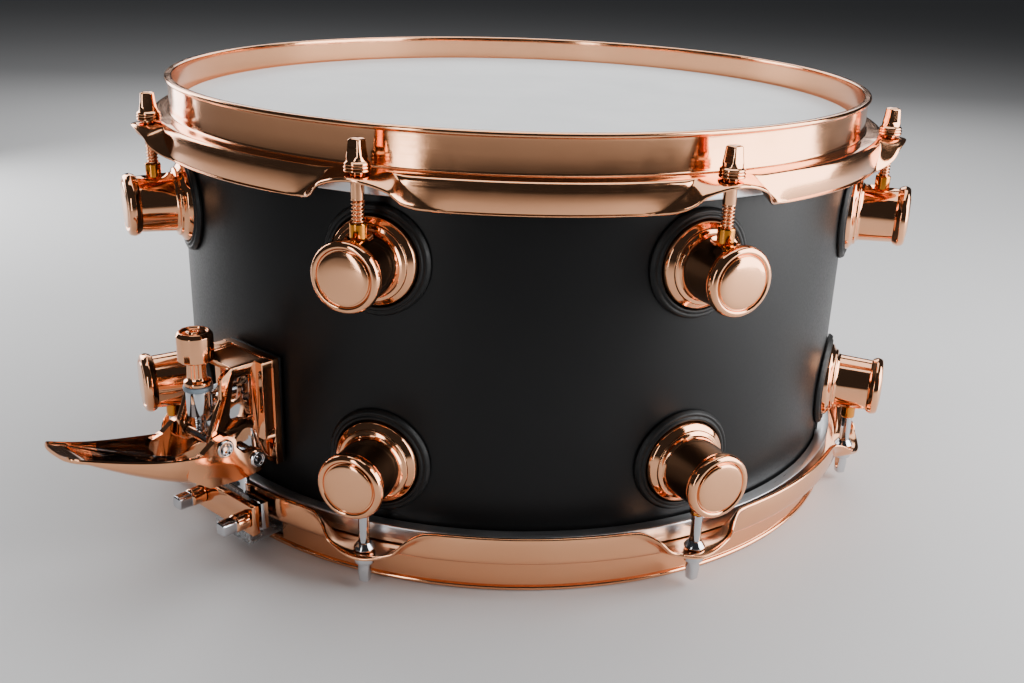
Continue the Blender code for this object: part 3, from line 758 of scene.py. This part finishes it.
def lug_meshes():
    """The lug's pieces with height out of the drum and local Y up the drum."""
    body = lug_body_mesh()
    bm = bmesh.new()
    lathe(bm, [(0.0, 30.95), (3.0, 30.93), (6.0, 30.83), (8.5, 30.66)]
          + rounded([(10.2, 30.45, 0), (11.15, 30.1, 0.45), (11.15, 29.3, 0)]) + [(0.0, 29.3)], 96)
    cap = finished(bm, "lug_cap", [CAP_COPPER])
    bm = bmesh.new()
    out = ROD_R0 / MM - LUG_BASE
    tube = [(0.0, 10.3)] + rounded(
        [(3.6, 10.3, 0), (3.65, 19.0, 0.2), (3.4, 19.6, 0.15), (3.15, 19.6, 0.1), (3.05, 18.9, 0.2),
         (3.05, 12.0, 0)]
    ) + [(0.0, 12.0)]
    lathe(bm, tube, 48)
    lug_turn = Matrix.Translation((0, 0, out * MM)) @ Matrix.Rotation(-math.pi / 2, 4, "X")
    bmesh.ops.transform(bm, matrix=lug_turn, verts=bm.verts)
    tube_mesh = finished(bm, "lug_receiver", [BRASS])
    bm = bmesh.new()
    foot = rounded(
        [(3.75, 11.7, 0), (4.3, 11.5, 0.3), (4.7, 10.9, 0.6), (6.6, 10.2, 0.4), (4.8, 9.6, 0),
         (3.75, 9.6, 0)]
    )
    lathe(bm, foot, 48, loop=True)
    bmesh.ops.transform(bm, matrix=lug_turn, verts=bm.verts)
    foot_mesh = finished(bm, "lug_foot", [TURNED_COPPER])
    bm = bmesh.new()
    ridge = rounded(
        [(17.0, 0.05, 0), (19.6, 0.1, 0), (24.3, 0.1, 0), (24.4, 1.0, 0.5), (23.2, 2.9, 0.9),
         (21.9, 2.3, 0.5),
         (21.2, 3.2, 0.6), (20.2, 3.0, 0.4), (19.95, 0.8, 0.2), (17.0, 0.7, 0)]
    )
    lathe(bm, ridge, 96, loop=True)
    for vert in bm.verts:
        vert.co.z -= vert.co.x**2 / (2 * SHELL_R)
    gasket = finished(bm, "lug_gasket", [RUBBER])
    return {"body": body, "cap": cap, "receiver": tube_mesh, "foot": foot_mesh, "gasket": gasket}


def make_lugs():
    meshes = lug_meshes()
    # local X round the drum, local Y up, local Z out
    stand = Matrix(((0, 0, 1, 0), (1, 0, 0, 0), (0, 1, 0, 0), (0, 0, 0, 1)))
    for side in ("batter", "snare"):
        for number, angle in enumerate(LUG_ANGLES, 1):
            height = MID_Z + (LUG_Z if side == "batter" else -LUG_Z)
            over = Matrix.Rotation(math.pi if side == "snare" else 0.0, 4, "X")
            turn = Matrix.Translation((0, 0, height)) @ Matrix.Rotation(angle, 4, "Z") @ over
            place = turn @ Matrix.Translation((LUG_BASE * MM, 0, 0)) @ stand
            for part, mesh in meshes.items():
                outermost = number in (2, 3, 6, 7) and part in ("body", "cap")
                piece(f"{side}_lug_{number}_{part}", mesh, "drum",
                      [f"{side}_lug_{number}"],
                      place, settled=outermost)


def squarish(square):
    """radius_at for a rounded square of which square (0 to 1) is the share."""

    def at(radius, height, angle):
        part = square(height)
        power = 2.0 + 4.0 * part
        c, s = abs(math.cos(angle)), abs(math.sin(angle))
        return radius * (c**power + s**power) ** (-1.0 / power)

    return at


def threaded(low, high, depth, pitch):
    """radius_at for a thread between two heights: flat crests, deep roots."""

    def at(radius, height, angle):
        if height < low or height > high:
            return radius
        turn = (height / pitch - angle / math.tau) % 1.0
        fade = min(1.0, (high - height) / pitch, max(0.0, (height - low) / pitch))
        return radius - depth * fade * smooth((abs(2.0 * turn - 1.0) - 0.3) / 0.55)

    return at


ROD_IN_RECEIVER = 7.0
BATTER_THREAD = 16.8
SNARE_THREAD = 7.6
THREAD_PITCH = 1.5


def rod_meshes():
    """Tension rods: key head up, height 0 at the head's playing surface."""
    end = (MID_Z + LUG_Z) / MM + RECEIVER_TOP / MM - ROD_IN_RECEIVER
    thread_top = end + BATTER_THREAD

    batter = bmesh.new()
    head = [(0.0, 9.7), (1.2, 9.68)] + rounded(
        [(1.9, 9.55, 0), (2.75, 9.1, 0.8), (3.05, 5.6, 3.0), (3.45, 2.8, 3.0), (4.3, 0.9, 1.5),
         (5.2, 0.2, 0.3),
         (5.3, -0.4, 0.3), (5.1, -0.85, 0.2), (2.75, -0.85, 0)], 5
    )
    lathe(batter, head + [(0.0, -0.85)], 48, radius_at=squarish(lambda h: smooth((h - 0.8) / 3.0)))
    for top in (-0.9, -2.2):
        washer = rounded(
            [(2.9, top, 0), (5.3, top, 0.3), (5.6, top - 0.6, 0.4), (5.3, top - 1.15, 0.3),
             (2.9, top - 1.15, 0)]
        )
        lathe(batter, washer, 48, loop=True)
    count = int((thread_top - end) / 0.12)
    shank = [(0.0, -0.8), (2.75, -0.8), (2.75, thread_top)]
    shank += [(2.75, thread_top - (thread_top - end) * k / count) for k in range(1, count + 1)]
    lathe(batter, shank + [(2.2, end - 0.4), (0.0, end - 0.4)], 24,
          radius_at=threaded(end, thread_top, 0.8, THREAD_PITCH))

    snare = bmesh.new()
    head = [(0.0, 9.6), (1.2, 9.6)] + rounded(
        [(1.9, 9.5, 0), (2.35, 9.1, 0.5), (2.75, 3.0, 1.0), (2.85, 0.4, 0.4), (4.3, -0.3, 0.4),
         (4.6, -1.2, 0.5),
         (4.6, -3.2, 0.3), (2.6, -3.3, 0)], 4
    )
    lathe(snare, head + [(0.0, -3.3)], 48, radius_at=squarish(lambda h: 0.45 * smooth((h - 0.6) / 2.0)))
    shank = [(0.0, -3.2), (2.6, -3.2), (2.6, thread_top)]
    shank += [(2.6, thread_top - (thread_top - end) * k / count) for k in range(1, count + 1)]
    lathe(snare, shank + [(2.1, end - 0.4), (0.0, end - 0.4)], 24,
          radius_at=threaded(end, end + SNARE_THREAD, 0.6, THREAD_PITCH))
    collar = rounded(
        [(2.75, -7.0, 0), (4.6, -7.0, 0.3), (4.9, -7.8, 0.5), (3.9, -9.2, 0.8), (3.0, -10.4, 0.4),
         (2.75, -10.6, 0)]
    )
    lathe(snare, collar, 48, loop=True)
    return (
        finished(batter, "batter_tension_rod", [COPPER]),
        finished(snare, "snare_tension_rod", [CHROME]),
    )


def make_rods():
    batter, snare = rod_meshes()
    for number, angle in enumerate(LUG_ANGLES, 1):
        spot = Matrix.Translation((ROD_R0 * math.cos(angle), ROD_R0 * math.sin(angle), 0))
        turn = Matrix.Rotation(angle + 0.3 * number, 4, "Z")
        piece(f"batter_tension_rod_{number}", batter, f"batter_rod_{number}",
              [f"batter_rod_{number}"], spot @ turn)
        flip = Matrix.Translation((0, 0, 2 * MID_Z)) @ spot @ turn @ Matrix.Rotation(math.pi, 4, "X")
        piece(f"snare_tension_rod_{number}", snare, f"snare_rod_{number}",
              [f"snare_rod_{number}"], flip)


# --------------------------------------------------------------- throw-off


def make_knob():
    bm = bmesh.new()
    facet = math.tau / 12

    def facets(radius, height, angle):
        if height < -5.0 or radius < 6.2:
            return radius
        off = (angle + facet / 2) % facet - facet / 2
        return min(radius, radius * 0.985 / math.cos(off))

    def flutes(radius, height, angle):
        if height > -6.6 or height < -13.6 or radius > 5.0:
            return facets(radius, height, angle)
        return radius - 0.28 * (0.5 + 0.5 * math.cos(angle * 10)) ** 2

    profile = [(0.0, 6.9)] + rounded(
        [(1.3, 6.9, 0), (1.4, 7.9, 0.3), (2.6, 7.95, 0.3), (2.9, 7.2, 0.2), (5.6, 7.1, 0.3),
         (5.9, 7.9, 0.3),
         (6.8, 7.95, 0.4), (8.1, 6.3, 0.5), (8.1, -4.9, 0.5), (7.5, -5.5, 0.3), (4.6, -5.9, 0.4),
         (4.2, -6.8, 0.4), (4.2, -13.4, 0.3), (4.5, -14.4, 0.4), (6.0, -15.4, 0.5), (6.2, -16.9, 0.2),
         (3.0, -17.0, 0)], 4
    )
    lathe(bm, profile + [(0.0, -17.0)], 120, radius_at=flutes)
    place = THROWOFF @ Matrix.Translation((SCREW_AXIS, 0, 0))
    piece("tension_knob_cap", finished(bm, "tension_knob_cap", [COPPER]), "knob",
          ["tension_knob"], place)
    bm = bmesh.new()
    count = 150
    low, high = -39.8, -17.3
    shank = [(0.0, high), (2.4, high)]
    shank += [(2.4, high + (low - high) * k / count) for k in range(1, count)]
    lathe(bm, shank + [(1.9, low), (0.0, low)], 32, radius_at=threaded(low, high, 0.5, 1.1))
    piece("tension_spindle_thread", finished(bm, "tension_spindle_thread", [CHROME]), "knob",
          ["tension_spindle"], place)
    bm = bmesh.new()
    washer = rounded([(2.9, -17.3, 0), (6.5, -17.3, 0.4), (6.7, -18.4, 0.5), (6.5, -19.5, 0.4),
                      (2.9, -19.5, 0)])
    lathe(bm, washer, 64, loop=True)
    piece("tension_nylon_washer", finished(bm, "tension_nylon_washer", [NYLON]), "carriage",
          ["tension_washer"], place)


def make_housing():
    low, high, half = -60.0, -8.0, 18.5
    cheek = rounded(
        [(181.0, -40.0, 0), (181.0, -8.6, 1.0), (201.5, -8.6, 2.5), (206.8, -12.0, 2.5),
         (207.4, -21.5, 3.0),
         (214.3, -37.5, 4.0), (215.2, -44.8, 3.0), (211.0, -48.3, 3.5), (204.5, -45.8, 4.0),
         (196.0, -38.2, 4.0),
         (190.2, -41.5, 4.0), (187.0, -53.0, 3.0), (184.0, -57.5, 1.0), (181.0, -58.5, 0.5),
         (181.0, -40.0, 0)], 4
    )[:-1]
    window = rounded(
        [(191.2, -25.0, 0), (191.2, -13.6, 1.5), (200.6, -13.6, 2.0), (201.6, -20.0, 2.0),
         (204.2, -33.0, 3.0),
         (196.5, -34.0, 3.0), (191.2, -36.5, 1.5), (191.2, -25.0, 0)], 3
    )[:-1]
    base = solid(lambda bm: block(bm, (179.7, -half, low), (183.2, half, high)))
    steps = []
    for side in (-1, 1):
        y = sorted((side * 10.6, side * 13.4))
        steps.append(("UNION", solid(lambda bm, y=y: plate(bm, cheek, *y))))
    for side in (-1, 1):
        y = sorted((side * 12.5, side * 18.3))
        steps.append(("UNION", solid(lambda bm, y=y: block(bm, (182, y[0], -46), (188.8, y[1], -8.3)))))
        y = sorted((side * 17.5, side * 19.5))
        steps.append(("DIFFERENCE", solid(lambda bm,
                                          y=y: block(bm, (182.8, y[0], -42), (187.2, y[1], -12)))))
        y = sorted((side * 9.0, side * 15.0))
        steps.append(("DIFFERENCE", solid(lambda bm, y=y: plate(bm, window, *y))))
    steps.append(("UNION", solid(lambda bm: block(bm, (182, -12, -11.6), (200.0, 12, -8.9)))))
    x, z = SCREW_AXIS / MM, (PIVOT.z - MID_Z) / MM
    steps.append(("DIFFERENCE", solid(lambda bm: rod_between(bm, 2.4, (x, -20, z), (x, 20, z), 32))))
    mesh = shaped(base, steps, "housing_casting", [COPPER], bevel=0.5, segments=3, sharp=40.0)
    piece("throwoff_housing_casting", mesh, "drum", ["throwoff_housing"], THROWOFF)


def trough(s):
    """Half width, depth and rim height of the lever at s from its pivot."""
    half = 17.6 - 4.8 * smooth((s - 20.0) / 49.0)
    rim = -4.1 + 3.5 * ((s - 28.0) / 40.0) ** 2
    depth = max(2.5, 17.2 - 0.24 * s)
    if s > 65.0:
        half -= 4.2 * (1.0 - math.sqrt(max(0.0, 1.0 - ((s - 65.0) / 4.2) ** 2)))
    return half, depth, rim


def make_lever():
    wall = 1.7
    across = 26

    def shell(bm):
        rings = []
        stations = [3.0 + 62.0 * k / 52 for k in range(53)]
        stations += [65.0 + 4.0 * math.sin(math.pi / 2 * k / 10) for k in range(1, 11)]
        for s in stations:
            half, depth, rim = trough(s)
            power = 2.0 / (3.6 - 0.6 * smooth(s / 60.0))
            outer = []
            inner = []
            for k in range(across + 1):
                angle = math.pi * (1.0 - k / across)
                c, t = math.cos(angle), math.sin(angle)
                y = math.copysign(abs(c) ** power, c)
                z = abs(t) ** power
                outer.append((half * y, rim - depth * z))
                lift = min(wall, depth * 0.6)
                inner.append(((half - wall) * y, rim - (depth - lift) * z))
            outline = outer + [(half - wall * 0.3, rim + 0.45), (half - wall * 0.7, rim + 0.45)]
            outline += inner[::-1] + [(-half + wall * 0.7, rim + 0.45), (-half + wall * 0.3, rim + 0.45)]
            rings.append([bm.verts.new((s * MM, y * MM, z * MM)) for y, z in outline])
        skin(bm, rings)
        bm.faces.new(rings[0])
        bm.faces.new(rings[-1])

    def gets_trough_painted_shade(face):
        """Whether a face is on the trough's inner wall, short of the blade; these faces get the painted
        shade.
        """
        s, y, z = (value / MM for value in face.center)
        half, depth, rim = trough(s)
        inward = face.normal.z * 0.6 - face.normal.y * math.copysign(0.6, y) > 0.15
        return 3.5 < s < 44.0 and inward and abs(y) < half - 1.2 and z < rim - 0.5 and z > rim - depth + 0.8

    arm = rounded(
        [(-6.0, 0.0, 0), (-5.5, 4.2, 3.0), (0.0, 6.0, 3.5), (5.5, 3.5, 3.0), (11.0, -2.5, 3.0),
         (17.0, -5.5, 2.0),
         (17.0, -13.0, 3.0), (4.0, -18.3, 5.0), (-12.0, -15.8, 6.0), (-23.3, -12.0, 4.0),
         (-24.2, -5.5, 4.5),
         (-18.8, -1.2, 4.0), (-11.0, -3.4, 3.0), (-6.0, 0.0, 0)], 5
    )[:-1]
    steps = []
    for side in (-1, 1):
        y = sorted((side * 14.2, side * 17.5))
        steps.append(("UNION", solid(lambda bm, y=y: plate(bm, arm, *y))))
    steps.append(("DIFFERENCE", solid(lambda bm: rod_between(bm, 2.3, (0, -25, 0), (0, 25, 0), 32))))
    steps.append(("DIFFERENCE", solid(lambda bm: rod_between(bm, 2.6, (-19.0, -25, -6.5), (-19.0, 25, -6.5),
                                                             32))))
    mesh = shaped(solid(shell), steps, "lever_blade", [COPPER, TROUGH_PAINTED_SHADE], sharp=38.0)
    # The trough's inner wall gets the painted shade material, the rest stays plain copper.
    for face in mesh.polygons:
        face.material_index = int(gets_trough_painted_shade(face))
    place = THROWOFF @ Matrix.Translation((SCREW_AXIS, 0, PIVOT.z - MID_Z)) @ Matrix.Rotation(-LEVER_RAISED,
                                                                                              4, "Y")
    piece("throwoff_lever_blade", mesh, "lever", ["throwoff_lever"], place, settled=True)
    for number, side in enumerate((1, -1), 1):
        bm = bmesh.new()
        lathe(bm, [(0.0, 18.9), (1.2, 18.9)] + rounded(
            [(1.3, 18.2, 0), (2.4, 18.2, 0.2), (2.7, 18.9, 0.2), (3.7, 18.9, 0.4), (4.1, 18.2, 0.4),
             (4.1, 17.6, 0),
             (2.2, 17.6, 0), (2.2, 13.6, 0)]) + [(0.0, 13.6)], 40)
        turn = Matrix.Translation(Vector((-19.0, 0, -6.5)) * MM) @ Matrix.Rotation(-side * math.pi / 2, 4,
                                                                                   "X")
        piece(f"cam_pin_{number}_head", finished(bm, f"cam_pin_{number}_head", [CHROME]), "lever",
              [f"cam_pin_{number}"], place @ turn)


def make_lever_pin():
    bm = bmesh.new()
    for side in (1, -1):
        cap = bmesh.new()
        profile = [(0.0, 18.2), (1.0, 18.2)] + rounded(
            [(1.2, 17.9, 0), (2.6, 18.0, 0.2), (3.0, 18.9, 0.3), (4.0, 18.9, 0.5), (4.3, 17.8, 0.2),
             (2.0, 17.7, 0)]
        )
        lathe(cap, profile + [(2.0, 0.0), (0.0, 0.0)], 48)
        bmesh.ops.transform(cap, matrix=Matrix.Rotation(-side * math.pi / 2, 4, "X"), verts=cap.verts)
        mesh = finished(cap, "lever_pin_half", [CHROME])
        bm.from_mesh(mesh)
    place = THROWOFF @ Matrix.Translation((SCREW_AXIS, 0, PIVOT.z - MID_Z))
    piece("lever_pivot_pin", finished(bm, "lever_pivot_pin", [CHROME]), "drum",
          ["lever_pin"], place)


def make_key_screws():
    profile = [(0.0, 215.4)] + rounded(
        [(2.5, 215.4, 0), (3.1, 214.9, 0.3), (3.2, 208.6, 0.4), (4.2, 207.6, 0.5), (4.3, 202.0, 0.3),
         (4.2, 201.5, 0),
         (2.2, 201.5, 0), (2.2, 193.2, 0.2)]
    ) + [(0.0, 192.9)]
    bm = bmesh.new()
    lathe(bm, profile, 48, radius_at=squarish(lambda h: smooth((h - 207.8) / 1.2)))
    mesh = finished(bm, "key_screw", [CHROME, COPPER])
    for face in mesh.polygons:
        face.material_index = int(face.center.z < 208.2 * MM)
    for label, home, body in (("throwoff", THROWOFF, "carriage"), ("butt", BUTT, "drum")):
        for number in (1, 2):
            node = f"{label}_clamp_screw_{number}"
            low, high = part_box(node)
            middle = home.inverted() @ ((low + high) / 2)
            place = home @ Matrix.Translation((0, middle.y, middle.z)) @ Matrix.Rotation(math.pi / 2, 4,
                                                                                         "Y")
            piece(f"{label}_key_screw_{number}", mesh, body, [node], place)


# ------------------------------------------------------------- snare wires


def make_wires():
    hinge = Vector(JOINTS["wires_hinge"]["pos_m"])
    tilt = math.asin(5.0 / 300.0)
    place = Matrix.Translation(hinge) @ Matrix.Rotation(-tilt, 4, "Y")
    strands, pitch, coil_r, wire_r = 20, 2.1, 0.58, 0.2
    turns, round_steps, sides = 190, 8, 4
    for half, first in (("a", 0), ("b", strands // 2)):
        bm = bmesh.new()
        for k in range(first, first + strands // 2):
            y = (k - (strands - 1) / 2) * pitch
            rings = []
            for n in range(turns * round_steps + 1):
                turn = math.tau * n / round_steps + k
                x = -298.0 + 296.0 * n / (turns * round_steps)
                ring = []
                for side in range(sides):
                    around = math.tau * side / sides
                    reach = coil_r + wire_r * math.cos(around)
                    ring.append(bm.verts.new((
                        (x + wire_r * math.sin(around)) * MM,
                        (y + reach * math.cos(turn)) * MM,
                        (-1.0 + reach * math.sin(turn)) * MM,
                    )))
                rings.append(ring)
            skin(bm, rings)
            bm.faces.new(rings[0])
            bm.faces.new(rings[-1])
        piece(f"snare_strands_{half}", finished(bm, f"snare_strands_{half}", [STEEL], 60.0), "wires",
              ["snare_wires"], place)
    for number, x in enumerate((-300.0, 0.0), 1):
        def comb(bm, x=x):
            block(bm, (x - 9, -20.8, -2.8), (x + 9, 20.8, -1.9))

        def slots(bm, x=x):
            for y in (-12.0, 0.0, 12.0):
                inner = x + (5.0 if x < -1 else -5.0)
                rod_between(bm, 1.6, (inner, y, -5), (inner, y, 1), 24)

        mesh = shaped(solid(comb), [("DIFFERENCE", solid(slots))], f"wire_end_plate_{number}", [CHROME],
                      bevel=0.3)
        piece(f"wire_end_plate_{number}", mesh, "wires", ["snare_wires"], place)


# ------------------------------------------------------------------- stage


def make_stage():
    bm = bmesh.new()
    ground = -0.19305 - 0.0002
    bmesh.ops.create_grid(bm, x_segments=2, y_segments=2, size=9.0,
                          matrix=Matrix.Translation((0, 0, ground)))
    look = Look("studio_floor", 0.0, 0.7)
    look.colour(look.mix(look.noise(2.0, 4.0), (0.60, 0.60, 0.605), (0.57, 0.57, 0.58)))
    look.bump(look.noise(160.0, 4.0), 0.05 * MM)
    floor = bpy.data.objects.new("studio_floor", finished(bm, "studio_floor", [look.material]))
    bpy.context.scene.collection.objects.link(floor)


def softbox(name, azimuth, elevation, distance, width, height, power, tint=(1.0, 1.0, 1.0),
            aim=(0, 0, -0.08)):
    """A soft area light. Azimuth is from the photograph's camera, to its
    right, and elevation is above the drum's middle."""
    a = math.radians(azimuth - 48.4)
    e = math.radians(elevation)
    back = Vector((math.sin(a) * math.cos(e), -math.cos(a) * math.cos(e), math.sin(e)))
    data = bpy.data.lights.new(name, "AREA")
    data.shape = "RECTANGLE"
    data.size = width
    data.size_y = height
    data.energy = power
    data.color = tint
    light = bpy.data.objects.new(name, data)
    bpy.context.scene.collection.objects.link(light)
    light.location = Vector(aim) + back * distance
    light.rotation_euler = back.to_track_quat("Z", "Y").to_euler()
    light.visible_camera = False


def make_light():
    softbox("key_right", 74, 18, 0.88, 0.80, 0.80, 17)
    softbox("strip_left", -30, 10, 0.86, 0.10, 0.50, 1.1)
    softbox("rim_left", -122, 16, 0.86, 0.36, 0.62, 6)
    softbox("top", 165, 76, 1.4, 1.5, 1.5, 17)
    softbox("back", 180, 28, 1.25, 1.4, 0.5, 7)
    world = bpy.data.worlds.new("studio")
    bpy.context.scene.world = world
    world.use_nodes = True
    world.node_tree.nodes["Background"].inputs["Color"].default_value = (0.035, 0.036, 0.038, 1.0)
    world.node_tree.nodes["Background"].inputs["Strength"].default_value = 1.0


# ------------------------------------------------------------------- build

make_camera()
make_stage()
make_light()
make_shell()
make_heads()
make_hoop("batter")
make_hoop("snare")
make_lugs()
make_rods()
make_knob()
make_housing()
make_lever()
make_lever_pin()
make_key_screws()
make_wires()
dress("throwoff_gasket", RUBBER, 0.2)
dress("throwoff_carriage", CHROME)
dress("throwoff_clamp", COPPER)
dress("throwoff_strap", CLEAR, 0.1)
dress("butt_plate", COPPER, 0.6)
dress("butt_clamp", COPPER)
dress("butt_strap", CLEAR, 0.1)
